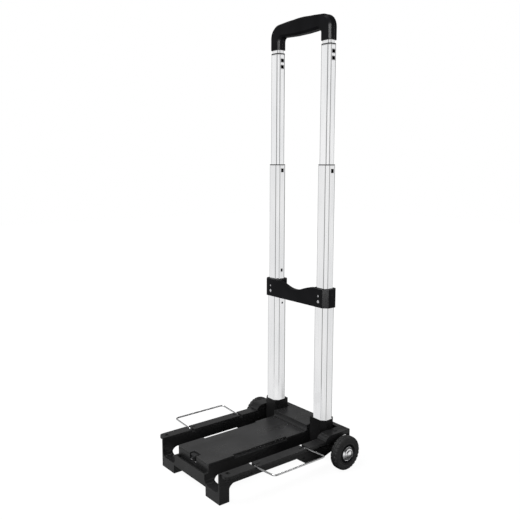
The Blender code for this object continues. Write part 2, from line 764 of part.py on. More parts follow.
def clamp_outline():
    """The clamp from the front: a bar across both poles, with a wide saddle in its top edge."""
    reach = POLE_X + LOWER[0] + CLAMP_GROW
    low, high = CLAMP
    dip, saddle, steps = 0.0138, 0.062, 16
    top = []
    for i in range(steps + 1):
        along = 1 - 2 * i / steps
        top.append((along * saddle, high - dip * (1 + math.cos(math.pi * along)) / 2))
    return [(-reach, low), (reach, low), (reach, high)] + top + [(-reach, high)]


def clamp_seats(side):
    """Cutters for the lower tube's seat in the clamp, and for the middle tube running through its top."""
    centre = (side * POLE_X, POLE_Y)
    ledge = CLAMP[1] - CLAMP_CAP
    seat = prism("seat", octagon(grown(LOWER, GAP), centre), "Z", CLAMP[0] - 0.001, ledge)
    throat = prism("throat", octagon(grown(MIDDLE, 0.0004), centre), "Z", ledge - 0.001, CLAMP[1] + 0.001)
    return [seat, throat]


def make_clamp_front():
    """The clamp's front: half a sleeve round each pole, with a web between them."""
    section = grown(LOWER, CLAMP_GROW)
    deep, corner = section[1], section[2]
    reach = POLE_X + section[0]
    web_reach = POLE_X - section[0]
    web_back = -0.008
    seam = -GAP / 2
    plan = [(-reach, seam), (-reach, -deep + corner), (-reach + corner, -deep)]
    plan += [(-x, y) for x, y in reversed(plan)]
    plan += [(web_reach, seam), (web_reach, web_back), (-web_reach, web_back), (-web_reach, seam)]
    front = prism("clamp_front", clamp_outline(), "Y", POLE_Y - deep, POLE_Y)
    trim = [(x, POLE_Y + y) for x, y in plan]
    combine(front, [prism("plan", trim, "Z", CLAMP[0] - 0.001, CLAMP[1] + 0.001)], "INTERSECT")
    near = POLE_Y - deep
    for side in (1, -1):
        cutters = clamp_seats(side)
        for z, radius in zip(SCREW_Z, (0.0041, 0.0028)):
            place = (side * POLE_X, z)
            cutters.append(rod("counterbore", "Y", place, radius, near - 0.001, near + 0.0018, 16))
            cutters.append(rod("hole", "Y", place, 0.0016, near, near + 0.005, 12))
        cut(front, *cutters)
    paint(front, "gloss_black")


def make_clamp_back(side):
    """The half sleeve that closes the clamp behind one pole."""
    half_x, half_y, corner = grown(LOWER, CLAMP_GROW)
    plan = [
        (half_x, GAP / 2),
        (half_x, half_y - corner),
        (half_x - corner, half_y),
        (-half_x + corner, half_y),
        (-half_x, half_y - corner),
        (-half_x, GAP / 2),
    ]
    outline = [(side * POLE_X + x, POLE_Y + y) for x, y in plan]
    sleeve = prism("clamp_back_" + side_name(side), outline, "Z", CLAMP[0], CLAMP[1])
    paint(cut(sleeve, *clamp_seats(side)), "gloss_black")


def make_clamp_screws():
    near = POLE_Y - LOWER[1] - CLAMP_GROW
    for side in (1, -1):
        for level, z, radius in (("low", SCREW_Z[0], 0.0034), ("high", SCREW_Z[1], 0.0022)):
            place = (side * POLE_X, z)
            name = "clamp_screw_%s_%s" % (level, side_name(side))
            screw = rod(name, "Y", place, radius, near + 0.0009, near + 0.0015, 16)
            join(screw, rod("shank", "Y", place, 0.0013, near + 0.0014, near + CLAMP_GROW + 0.0014, 12))
            paint(screw, "steel")


def make_collar(name, x, inside, outside, low):
    """A thin black ring on top of a tube, with the next tube running through it."""
    ring = prism(name, octagon(outside, (x, POLE_Y)), "Z", low + GAP, low + COLLAR)
    throat = octagon(grown(inside, 0.0004), (x, POLE_Y))
    paint(cut(ring, prism("throat", throat, "Z", low - 0.001, low + COLLAR + 0.001)), "gloss_black")


def make_lock(name, side, section, z, low, high, well):
    """The plug in the foot of a sliding tube, and the pin in it that catches the tube outside."""
    x = side * POLE_X
    inside = octagon(grown(section, -TUBE_WALL - GAP), (x, POLE_Y))
    plug = prism("lock_block_" + name, inside, "Z", low, high)
    inner = x - side * (section[0] + 0.0004)
    blind = x + side * 0.004
    bore = rod("bore", "X", (POLE_Y, z), 0.0021, *sorted((inner, blind + side * GAP)), 16)
    cutters = [bore]
    if well:
        cutters.append(rod("well", "Z", (x, POLE_Y), 0.0026, high - well, high + 0.001, 16))
    paint(cut(plug, *cutters), "nylon")
    paint(rod("lock_pin_" + name, "X", (POLE_Y, z), 0.0018, *sorted((inner, blind)), 16), "steel")


def make_middle(side):
    name, x = side_name(side), side * POLE_X
    middle = tube("middle_tube_" + name, MIDDLE, TUBE_WALL, x, MIDDLE_FOOT, MIDDLE_TOP)
    inward = sorted((x, x - side * (MIDDLE[0] + 0.001)))
    pin_hole = rod("hole", "X", (POLE_Y, LOCK_LOWER_Z), 0.0021, inward[0], inward[1], 16)
    slot = side_hole(x, SLOT_Z, MIDDLE, -side, 0.0027, 0.0037)
    paint(cut(middle, pin_hole, slot, *lock_windows(x)), "aluminium")
    make_collar("middle_collar_" + name, x, UPPER, MIDDLE, MIDDLE_TOP)
    make_lock("middle_" + name, side, MIDDLE, LOCK_LOWER_Z, MIDDLE_FOOT + GAP, 0.3460, 0)


def make_upper(side):
    name, x = side_name(side), side * POLE_X
    upper = tube("upper_tube_" + name, UPPER, TUBE_WALL, x, UPPER_FOOT, UPPER_TOP)
    paint(cut(upper, *pair_holes(x), *lock_windows(x)), "aluminium")
    make_collar("upper_collar_" + name, x, NECK, UPPER, UPPER_TOP)
    make_lock("upper_" + name, side, UPPER, LOCK_UPPER_Z, UPPER_FOOT + GAP, 0.6560, 0.0058)
    neck = tube("handle_neck_" + name, NECK, TUBE_WALL, x, NECK_FOOT, NECK_TOP)
    paint(cut(neck, *pair_holes(x)), "aluminium")


# The handle


def handle_outline():
    """The grip from the front: two short legs under a wide arch with rounded shoulders."""
    leg = UPPER[0] + 0.0004
    outer, inner = POLE_X + leg, POLE_X - leg
    shoulder, nook, crown, belly = 0.0285, 0.0085, 0.0026, 0.0021
    outline = [(outer, HANDLE_FOOT)]
    outline += arc((outer - shoulder, GRIP_TOP - crown - shoulder), shoulder, 0, 90, 8)
    outline += [(0.046, GRIP_TOP - 0.0010), (BUTTON_HALF, GRIP_TOP - 0.0002), (0.0, GRIP_TOP)]
    outline += [(-x, z) for x, z in reversed(outline[:-1])]
    under = GRIP_UNDER + belly
    lower = [(inner, HANDLE_FOOT)] + arc((inner - nook, under - nook), nook, 0, 90, 4)
    lower += [(0.036, GRIP_UNDER + 0.0009), (0.018, GRIP_UNDER)]
    return outline + [(-x, z) for x, z in lower] + list(reversed(lower))


def bar(name, half_x, half_y, z):
    """A block centred between the poles."""
    return block(name, (-half_x, half_x), (POLE_Y - half_y, POLE_Y + half_y), z)


def make_handle():
    """The front and back shells of the grip, with room inside for the yoke and the two rods."""
    depth, chamfer = UPPER[1] + 0.0006, 0.0048
    for name, way in (("handle_front", -1), ("handle_back", 1)):
        face_y = POLE_Y + way * depth
        shell = prism(name, handle_outline(), "Y", *sorted((POLE_Y + way * GAP / 2, face_y)))
        shape = bmesh.new()
        shape.from_mesh(shell.data)
        rim = [e for e in shape.edges if all(abs(v.co.y - face_y) < 1e-6 for v in e.verts)]
        rim = [e for e in rim if not all(abs(v.co.z - HANDLE_FOOT) < 1e-6 for v in e.verts)]
        bmesh.ops.bevel(shape, geom=rim, offset=chamfer, segments=1, affect="EDGES", profile=0.5)
        shape.to_mesh(shell.data)
        shape.free()
        tidy(shell)
        yoke_room = (YOKE[0] - BUTTON_TRAVEL - 0.0006, YOKE[1] + 0.0006)
        rim_room = (BUTTON_RIM[0] - BUTTON_TRAVEL - 0.0006, BUTTON_RIM[1] + GAP)
        cutters = [
            bar("yoke_room", 0.0848, 0.0045, yoke_room),
            bar("rim_room", 0.0300, 0.0080, rim_room),
            bar("slot", BUTTON_HALF + 0.0004, 0.0059, (rim_room[0], GRIP_TOP + 0.002)),
            bar("stem_room", 0.0066, 0.0036, (YOKE[0], BUTTON_RIM[1])),
        ]
        for side in (1, -1):
            centre = (side * POLE_X, POLE_Y)
            socket = octagon(grown(NECK, GAP), centre)
            cutters.append(prism("socket", socket, "Z", HANDLE_FOOT - 0.001, NECK_TOP + GAP))
            cutters.append(rod("rod_way", "Z", centre, 0.0026, NECK_TOP - 0.001, YOKE[1] - 0.001, 16))
        paint(cut(shell, *cutters), "gloss_black")


def make_button():
    """The push button, its yoke across the grip and the two release rods it pushes down the poles."""
    low, drop, steps = BUTTON_RIM[0], 0.0013, 6
    outline = [(-BUTTON_HALF, low), (BUTTON_HALF, low)]
    for i in range(steps + 1):
        along = 1 - 2 * i / steps
        outline.append((along * BUTTON_HALF, BUTTON_TOP - drop * along**2))
    button = prism("push_button", outline, "Y", POLE_Y - 0.0055, POLE_Y + 0.0055)
    stem = bar("stem", 0.0060, 0.0030, (YOKE[1] - 0.001, BUTTON_RIM[0] + 0.001))
    join(button, bar("rim", 0.0290, 0.0072, BUTTON_RIM), stem, bar("yoke", 0.0840, 0.0035, YOKE))
    paint(button, "gloss_black")
    for side in (1, -1):
        rod_name = "release_rod_" + side_name(side)
        paint(rod(rod_name, "Z", (side * POLE_X, POLE_Y), 0.0020, ROD_FOOT, YOKE[0] - GAP, 12), "steel")


def main():
    clear_scene()
    make_base()
    make_plate()
    make_deck()
    make_deck_studs()
    make_rail_fasteners()
    make_catch()
    make_hinge_shaft()
    for side in (1, -1):
        make_loop(side)
        make_wheel(side)
        make_lower_tube(side)
        make_shoe(side)
        make_middle(side)
        make_upper(side)
        make_clamp_back(side)
    make_clamp_front()
    make_clamp_screws()
    make_handle()
    make_button()


main()
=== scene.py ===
import json
import math

import bmesh
import bpy
from mathutils import Euler, Matrix, Vector

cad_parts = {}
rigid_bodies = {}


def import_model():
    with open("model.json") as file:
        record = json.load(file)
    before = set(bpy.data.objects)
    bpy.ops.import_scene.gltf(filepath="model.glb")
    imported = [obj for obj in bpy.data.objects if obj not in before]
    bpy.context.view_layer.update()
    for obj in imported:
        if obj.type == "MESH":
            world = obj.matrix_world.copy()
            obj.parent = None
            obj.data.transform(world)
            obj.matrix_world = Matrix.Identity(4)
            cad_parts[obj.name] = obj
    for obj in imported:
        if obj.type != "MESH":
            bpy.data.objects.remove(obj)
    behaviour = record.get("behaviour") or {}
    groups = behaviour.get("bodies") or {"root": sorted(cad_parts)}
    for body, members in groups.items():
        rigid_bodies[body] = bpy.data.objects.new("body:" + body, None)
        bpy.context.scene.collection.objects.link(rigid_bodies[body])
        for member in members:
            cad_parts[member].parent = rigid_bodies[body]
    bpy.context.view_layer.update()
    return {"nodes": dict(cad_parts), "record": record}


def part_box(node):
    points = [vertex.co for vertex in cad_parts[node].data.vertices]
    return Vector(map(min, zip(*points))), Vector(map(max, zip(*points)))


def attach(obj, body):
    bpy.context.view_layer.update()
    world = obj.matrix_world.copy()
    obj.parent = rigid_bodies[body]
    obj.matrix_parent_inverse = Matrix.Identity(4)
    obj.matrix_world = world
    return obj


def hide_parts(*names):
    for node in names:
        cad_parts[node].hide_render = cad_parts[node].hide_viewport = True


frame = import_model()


# Places and sizes, in metres, most of them read from the CAD frame


def middle_of(node):
    low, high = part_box(node)
    return (low + high) / 2


SIDES = (("right", 1), ("left", -1))
POLE = middle_of("lower_tube_right")
POLE_Y = POLE.y
WHEEL = {name: middle_of("tyre_" + name) for name, side in SIDES}
TYRE_LOW, TYRE_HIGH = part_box("tyre_right")
TYRE_RADIUS = (TYRE_HIGH.z - TYRE_LOW.z) / 2
TYRE_HALF = (TYRE_HIGH.x - TYRE_LOW.x) / 2
HUB_LOW, HUB_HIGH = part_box("wheel_hub_right")
RIM_RADIUS = (HUB_HIGH.z - HUB_LOW.z) / 2
CAP_LOW, CAP_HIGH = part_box("hub_cap_right")
CAP_RADIUS = (CAP_HIGH.z - CAP_LOW.z) / 2
LOOP_LOW, LOOP_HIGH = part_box("wire_loop_right")
WIRE = 0.00175  # radius
LOOP_PIVOT = LOOP_LOW.x + WIRE
LOOP_LIFT = math.radians(4)  # how far the loop rises outwards
LOOP_LEG = 0.0185  # the end that lies in the rail
SLOTS = {part["node"]: part["material_slot"] for part in frame["record"]["subparts"]}
BODIES = frame["record"]["behaviour"]["bodies"]


# Materials

BASE_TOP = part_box("hinge_shoe_right")[1].z - 0.0005  # reflections in the upright poles start above it
PALE, STEEP_PALE = 0.85, 0.40  # the base's painted glow in the poles' reflections, in level and in steep reflections
STEEP = (0.385, 0.42)  # sine of the slope between the two


def times(colour, factor):
    return tuple(factor * channel for channel in colour)


class Nodes:
    """A small helper that adds and links the nodes of one material."""

    def __init__(self, name):
        self.material = bpy.data.materials.new(name)
        self.material.use_nodes = True
        self.tree = self.material.node_tree
        self.shader = self.tree.nodes["Principled BSDF"]
        self.place = self.add("ShaderNodeTexCoord").outputs["Object"]

    def add(self, kind, **settings):
        node = self.tree.nodes.new(kind)
        for key, value in settings.items():
            setattr(node, key, value)
        return node

    def join(self, source, target):
        self.tree.links.new(source, target)

    def fill(self, socket, value):
        """Sets a socket to a colour or a number, or joins another node's output to it."""
        if isinstance(value, tuple):
            socket.default_value = value + (1.0,)
        elif isinstance(value, (int, float)):
            socket.default_value = value
        else:
            self.join(value, socket)

    def noise(self, scale, detail=2.0, stretch=(1, 1, 1), rough=0.5):
        """Noise in the object's own metres: scale is in features per metre."""
        mapping = self.add("ShaderNodeMapping")
        mapping.inputs["Scale"].default_value = stretch
        self.join(self.place, mapping.inputs["Vector"])
        texture = self.add("ShaderNodeTexNoise")
        texture.inputs["Scale"].default_value = scale
        texture.inputs["Detail"].default_value = detail
        texture.inputs["Roughness"].default_value = rough
        self.join(mapping.outputs["Vector"], texture.inputs["Vector"])
        return texture.outputs["Fac"]

    def cells(self, scale):
        texture = self.add("ShaderNodeTexVoronoi")
        texture.inputs["Scale"].default_value = scale
        self.join(self.place, texture.inputs["Vector"])
        return texture.outputs["Distance"]

    def spread(self, value, low, high, start=0.35, end=0.65):
        """Maps a value between start and end to between low and high, held at both ends."""
        node = self.add("ShaderNodeMapRange")
        node.inputs["From Min"].default_value = start
        node.inputs["From Max"].default_value = end
        node.inputs["To Min"].default_value = low
        node.inputs["To Max"].default_value = high
        self.join(value, node.inputs["Value"])
        return node.outputs["Result"]

    def maths(self, operation, first, second):
        node = self.add("ShaderNodeMath", operation=operation)
        self.fill(node.inputs[0], first)
        self.fill(node.inputs[1], second)
        return node.outputs["Value"]

    def blend(self, amount, first, second):
        """A colour between two colours."""
        node = self.add("ShaderNodeMix", data_type="RGBA")
        self.fill(node.inputs["Factor"], amount)
        self.fill(node.inputs[6], first)
        self.fill(node.inputs[7], second)
        return node.outputs[2]

    def bump(self, height, distance, strength=1.0, under=None):
        node = self.add("ShaderNodeBump")
        node.inputs["Distance"].default_value = distance
        node.inputs["Strength"].default_value = strength
        self.join(height, node.inputs["Height"])
        if under is not None:
            self.join(under, node.inputs["Normal"])
        return node.outputs["Normal"]

    def edges(self, radius, sharpest=0.80):
        """(rounded normal, how near an edge this point is, from 0 to 1)"""
        bevel = self.add("ShaderNodeBevel", samples=4)
        bevel.inputs["Radius"].default_value = radius
        flat = self.add("ShaderNodeNewGeometry").outputs["Normal"]
        product = self.add("ShaderNodeVectorMath", operation="DOT_PRODUCT")
        self.join(bevel.outputs["Normal"], product.inputs[0])
        self.join(flat, product.inputs[1])
        return bevel.outputs["Normal"], self.spread(product.outputs["Value"], 1.0, 0.0, sharpest, 0.995)

    def painted_pale_reflection(self):
        """Paints a pale glow on the base where the poles reflect it, a painted reflection for the blur
        that their brushed faces make of it in the white round it.
        Returns 1 for a reflection that starts above the base, and 0 for anything else."""
        path = self.add("ShaderNodeLightPath").outputs
        here = self.add("ShaderNodeNewGeometry").outputs
        place, back = self.add("ShaderNodeSeparateXYZ"), self.add("ShaderNodeSeparateXYZ")
        self.join(here["Position"], place.inputs[0])
        self.join(here["Incoming"], back.inputs[0])
        rise = self.maths("MULTIPLY", back.outputs["Z"], path["Ray Length"])
        start = self.maths("ADD", place.outputs["Z"], rise)
        higher = self.maths("GREATER_THAN", start, BASE_TOP)
        shown = self.maths("MULTIPLY", path["Is Glossy Ray"], higher)
        self.shader.inputs["Emission Color"].default_value = (1, 1, 1, 1)
        painted_glow = self.spread(back.outputs["Z"], PALE, STEEP_PALE, *STEEP)
        # Painted reflection: the surface glows white, only to glossy rays that start above the base.
        self.join(self.maths("MULTIPLY", shown, painted_glow), self.shader.inputs["Emission Strength"])
        return shown

    def finish(self, colour, roughness, normal=None, metallic=0.0, specular=0.5):
        self.fill(self.shader.inputs["Base Color"], colour)
        self.fill(self.shader.inputs["Roughness"], roughness)
        self.fill(self.shader.inputs["Metallic"], metallic)
        self.fill(self.shader.inputs["Specular IOR Level"], specular)
        if normal is not None:
            self.join(normal, self.shader.inputs["Normal"])
        return self.material


def moulded_plastic(name, shade, roughness, grain, shine=0.28):
    """Black moulded plastic: a fine grain, faint flow marks, and paler scuffs along its edges."""
    n = Nodes(name)
    rounded, edge = n.edges(0.0007)
    patches = n.noise(14, 3)
    flow = n.noise(30, 2, (1, 0.25, 1))
    colour = n.blend(n.spread(patches, 0, 1), times(shade, 0.80), times(shade, 1.25))
    scuffs = n.maths("MULTIPLY", edge, n.spread(n.noise(260, 3), 0.0, 0.75, 0.42, 0.62))
    colour = n.blend(scuffs, colour, times(shade, 2.6))
    specks = n.spread(n.noise(900, 2), 0, 0.12, 0.62, 0.72)
    colour = n.blend(specks, colour, times(shade, 2.0))
    sheen = n.spread(flow, roughness - 0.05, roughness + 0.05)
    sheen = n.maths("ADD", sheen, n.maths("MULTIPLY", scuffs, 0.15))
    normal = n.bump(n.noise(1500, 2), 0.00012, grain, rounded)
    # Painted reflection: a pale glow where the poles mirror this plastic.
    n.painted_pale_reflection()
    return n.finish(colour, sheen, normal, specular=shine)


GLOSS_SHINE = 0.028  # specular level of the polished black plastic


def gloss_plastic(name, shade, roughness):
    """Polished black plastic with handling smears and worn edges. It looks dull in the poles."""
    n = Nodes(name)
    rounded, edge = n.edges(0.0008)
    smears = n.noise(38, 4, (1, 1, 0.4), 0.6)
    colour = n.blend(n.spread(n.noise(20, 2), 0, 1), times(shade, 0.8), times(shade, 1.2))
    scuffs = n.maths("MULTIPLY", edge, n.spread(n.noise(300, 3), 0.0, 0.5, 0.45, 0.65))
    colour = n.blend(scuffs, colour, times(shade, 3.0))
    sheen = n.spread(smears, roughness - 0.04, roughness + 0.08)
    sheen = n.maths("ADD", sheen, n.maths("MULTIPLY", scuffs, 0.2))
    normal = n.bump(n.noise(420, 2), 0.00003, 0.35, rounded)
    in_mirror = n.add("ShaderNodeLightPath").outputs["Is Glossy Ray"]
    return n.finish(colour, sheen, normal, specular=n.spread(in_mirror, GLOSS_SHINE, 0.0, 0.0, 1.0))


def anodised(name, corner_shade, bright=1.0):
    """Bright anodised extrusion: draw lines along its length, cloudy patches, and painted shade on its
    corners.
    corner_shade is how much greyer the painted shade makes the corners, from 0 to 1."""
    n = Nodes(name)
    lines = n.noise(900, 3, (1, 1, 0.012), 0.6)
    cloud = n.noise(22, 3, (1, 1, 0.3))
    dull, clear = times((0.84, 0.845, 0.855), bright), times((0.92, 0.92, 0.925), bright)
    colour = n.blend(n.spread(cloud, 0, 1), dull, clear)
    colour = n.blend(n.spread(lines, 0.0, 0.35, 0.5, 0.7), colour, (0.74, 0.745, 0.755))
    # Painted shade: the corners are greyed where the light grazes them.
    painted_corner_mask = n.edges(0.0036, 0.955)[1]
    colour = n.blend(n.maths("MULTIPLY", painted_corner_mask, corner_shade), colour, (0.30, 0.30, 0.31))
    sheen = n.spread(lines, 0.09, 0.17)
    normal = n.bump(lines, 0.00002, 0.35)
    return n.finish(colour, sheen, normal, metallic=1.0)


def bare_steel(name, shade, roughness):
    """Zinc-plated steel: mottled, with fine scratches."""
    n = Nodes(name)
    mottle = n.noise(350, 3)
    scratches = n.noise(1200, 2, (1, 0.06, 0.06))
    colour = n.blend(n.spread(mottle, 0, 1), times(shade, 0.85), shade)
    sheen = n.spread(scratches, roughness - 0.05, roughness + 0.12)
    return n.finish(colour, sheen, n.bump(scratches, 0.00002, 0.4), metallic=1.0)


def chrome_plate(name, blur=0.0):
    """Chrome plating with a light haze and wipe marks. blur adds to its roughness."""
    n = Nodes(name)
    haze = n.noise(160, 3)
    wipe = n.noise(900, 2, (1, 0.08, 1))
    colour = n.blend(n.spread(haze, 0, 1), (0.86, 0.865, 0.875), (0.93, 0.93, 0.935))
    # Painted reflection: in the poles' reflections the chrome turns black and glows pale instead.
    colour = n.blend(n.painted_pale_reflection(), colour, (0.0, 0.0, 0.0))
    sheen = n.spread(haze, blur + 0.03, blur + 0.08)
    sheen = n.maths("ADD", sheen, n.spread(wipe, 0.0, 0.05, 0.5, 0.7))
    return n.finish(colour, sheen, n.bump(n.noise(240, 2), 0.00002, 0.25), metallic=1.0)


def tyre_rubber(name):
    """Grey-black rubber, dusty in patches, with a fine pebbled skin."""
    n = Nodes(name)
    dust = n.noise(120, 4, rough=0.65)
    colour = n.blend(n.spread(dust, 0, 1, 0.40, 0.68), (0.016, 0.016, 0.0165), (0.028, 0.028, 0.028))
    grit = n.spread(n.noise(1100, 2), 0, 0.5, 0.60, 0.70)
    colour = n.blend(grit, colour, (0.08, 0.08, 0.08))
    pebbles = n.bump(n.noise(420, 3), 0.00012, 0.5)
    normal = n.bump(n.cells(1500), 0.00006, 0.5, pebbles)
    # Painted reflection: a pale glow where the poles mirror the tyre.
    n.painted_pale_reflection()
    return n.finish(colour, n.spread(dust, 0.55, 0.75), normal, specular=0.35)


def painted_shade_inside(name):
    """The inside of a tube: dull, with oily streaks, and painted near-black as the shade that fills it.
    """
    n = Nodes(name)
    streaks = n.noise(300, 3, (1, 1, 0.05))
    colour = n.blend(n.spread(streaks, 0, 1), (0.004, 0.004, 0.004), (0.014, 0.014, 0.015))
    return n.finish(colour, n.spread(streaks, 0.6, 0.8), n.bump(streaks, 0.00005, 0.5), specular=0.2)


LOOKS = {
    "black_abs": moulded_plastic("black_abs", (0.016, 0.016, 0.0165), 0.30, 0.30),
    "plate_abs": moulded_plastic("plate_abs", (0.022, 0.022, 0.0226), 0.30, 0.16, 0.45),
    "shoe_black": moulded_plastic("shoe_black", (0.009, 0.009, 0.0093), 0.34, 0.25, 0.12),
    "gloss_black": gloss_plastic("gloss_black", (0.0018, 0.0018, 0.0020), 0.26),
    # The second number is how much painted shade greys the corners; the upper tubes get the most.
    "aluminium": anodised("aluminium", 0.15),
    "upper_aluminium": anodised("upper_aluminium", 0.95, 1.07),
    "steel": bare_steel("steel", (0.60, 0.60, 0.61), 0.28),
    "dark_steel": bare_steel("dark_steel", (0.07, 0.07, 0.072), 0.35),
    "chrome": chrome_plate("chrome"),
    "satin_chrome": chrome_plate("satin_chrome", 0.16),
    "rubber": tyre_rubber("rubber"),
    "nylon": moulded_plastic("nylon", (0.020, 0.020, 0.021), 0.45, 0.4),
    # painted shade for the inner faces of the tubes
    "inside": painted_shade_inside("inside"),
}


def dress(obj, *looks):
    obj.data.materials.clear()
    for look in looks:
        obj.data.materials.append(LOOKS[look])


# New pieces that stand for CAD nodes

ROOM = 2.3  # shortest edge beside a rounded one, in widths of the rounding
SHARP = math.radians(25)  # the least turn between two faces that counts as an edge to round
MERGE_WITHIN = 0.000005  # metres
FLAT_WITHIN = 0.002  # radians


def stand_in(obj, node):
    """Rides on the node's body and is shown in its place."""
    body = next(name for name, members in BODIES.items() if node in members)
    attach(obj, body)
    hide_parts(node)
    return obj


def link(name, mesh):
    obj = bpy.data.objects.new(name, mesh)
    bpy.context.scene.collection.objects.link(obj)
    return obj


def smooth_with_edges(obj, degrees):
    for face in obj.data.polygons:
        face.use_smooth = True
    obj.data.set_sharp_from_angle(angle=math.radians(degrees))


def weigh_normals(obj):
    """Keeps the flat faces flat between their rounded edges."""
    modifier = obj.modifiers.new("weigh", "WEIGHTED_NORMAL")
    modifier.keep_sharp = True
    modifier.weight = 80


def is_sharp(edge):
    return len(edge.link_faces) == 2 and edge.calc_face_angle(0) > SHARP


def is_convex(edge):
    first, second = edge.link_faces
    return (second.calc_center_median() - first.calc_center_median()).dot(first.normal) < 0


def has_room(edge, width):
    """False where rounding the edge would run past a shorter edge that meets it."""
    beside = [other for vert in edge.verts for other in vert.link_edges]
    return min(other.calc_length() for other in beside) > ROOM * width


def softened(node, slot, width, chosen, segments=3, looks=None, anywhere=False):
    """A copy of a CAD node with its chosen sharp edges rounded over. anywhere drops the room test."""
    shape = bmesh.new()
    shape.from_mesh(frame["nodes"][node].data)
    bmesh.ops.remove_doubles(shape, verts=shape.verts, dist=MERGE_WITHIN)
    bmesh.ops.dissolve_limit(shape, angle_limit=FLAT_WITHIN, verts=shape.verts, edges=shape.edges)
    shape.normal_update()
    edges = []
    for edge in shape.edges:
        if is_sharp(edge) and is_convex(edge) and chosen(edge):
            if anywhere or has_room(edge, width):
                edges.append(edge)
    bmesh.ops.bevel(
        shape,
        geom=edges,
        offset=width,
        segments=segments,
        profile=0.5,
        affect="EDGES",
        clamp_overlap=False,
        offset_type="OFFSET",
    )
    mesh = bpy.data.meshes.new(node + "_finish")
    shape.to_mesh(mesh)
    shape.free()
    obj = link(node + "_finish", mesh)
    dress(obj, *(looks or [slot]))
    smooth_with_edges(obj, 40)
    weigh_normals(obj)
    return stand_in(obj, node)


def longer_than(length):
    return lambda edge: edge.calc_length() > length


# Lighting

BACK_PANEL = 0.32  # the high panel at the back, in reflections
SOFT_ABOVE = 0.60  # matt surfaces are lit from above, from the front and from low on the right
SOFT_FRONT = 0.65
SOFT_RIGHT = 1.8
SOFT_LEAST = 0.02
KEY = 2.0  # watts per square metre
KEY_SPREAD = 35  # degrees
KEY_TURN = (32, 0, -25)
STRIP = 150.0  # watts
STRIP_SIZE = (0.25, 1.5)
STRIP_PLACE = (1.111, -1.019, 0.90)
STRIP_TURN = (90, 0, 44)
FLOOR_REACH = 6.0
FLOOR_DROP = 0.0002  # below the wheels' lowest line
FLOOR_GLOW = 0.95
SHADE_LOW, SHADE_HIGH = (-0.13, -0.10), (0.17, 0.22)  # corners of the dark sheet that paints the shade under the cart

# What surrounds the cart, as (degrees, brightness) pairs. AROUND turns anticlockwise from the right,
# seen from above, and UP rises from level.
RING_AROUND = (
    (-180, 0.20), (-168, 0.20), (-155, 0.90), (-128, 0.90), (-118, 0.25), (-76, 0.25),
    (-68, 0.92), (-34, 0.92), (-24, 0.28), (6, 0.28), (16, 0.88), (60, 0.88),
    (72, 0.05), (122, 0.05), (132, 0.30), (158, 0.30), (172, 0.20), (180, 0.20),
)
RING_UP = (
    (-90, 0.20), (-40, 0.35), (-29, 0.42), (-25, 0.45), (-22, 1.0),
    (14, 1.0), (20, 0.12), (50, 0.15), (90, 0.40),
)
BACK_AROUND = ((75, 0.0), (95, 1.0), (165, 1.0), (178, 0.0))
BACK_UP = ((12, 0.0), (17, 1.0), (38, 1.0), (46, 0.0))
DARK_AROUND = ((-15, 0.0), (10, 1.0), (65, 1.0), (85, 0.0))
DARK_UP = ((-26, 0.75), (-23, 0.0))
SOFT_UP = ((-25, 0.0), (-10, 1.0), (8, 1.0), (20, 0.0))


def set_stops(ramp, pairs, circle):
    """Sets a colour ramp's stops from (degrees, brightness) pairs. circle is the degrees it spans."""
    elements = ramp.color_ramp.elements
    elements.remove(elements[-1])
    for index, (degrees, grey) in enumerate(pairs):
        place = (degrees + circle / 2) / circle
        element = elements.new(place) if index else elements[0]
        element.position = place
        element.color = (grey, grey, grey, 1)


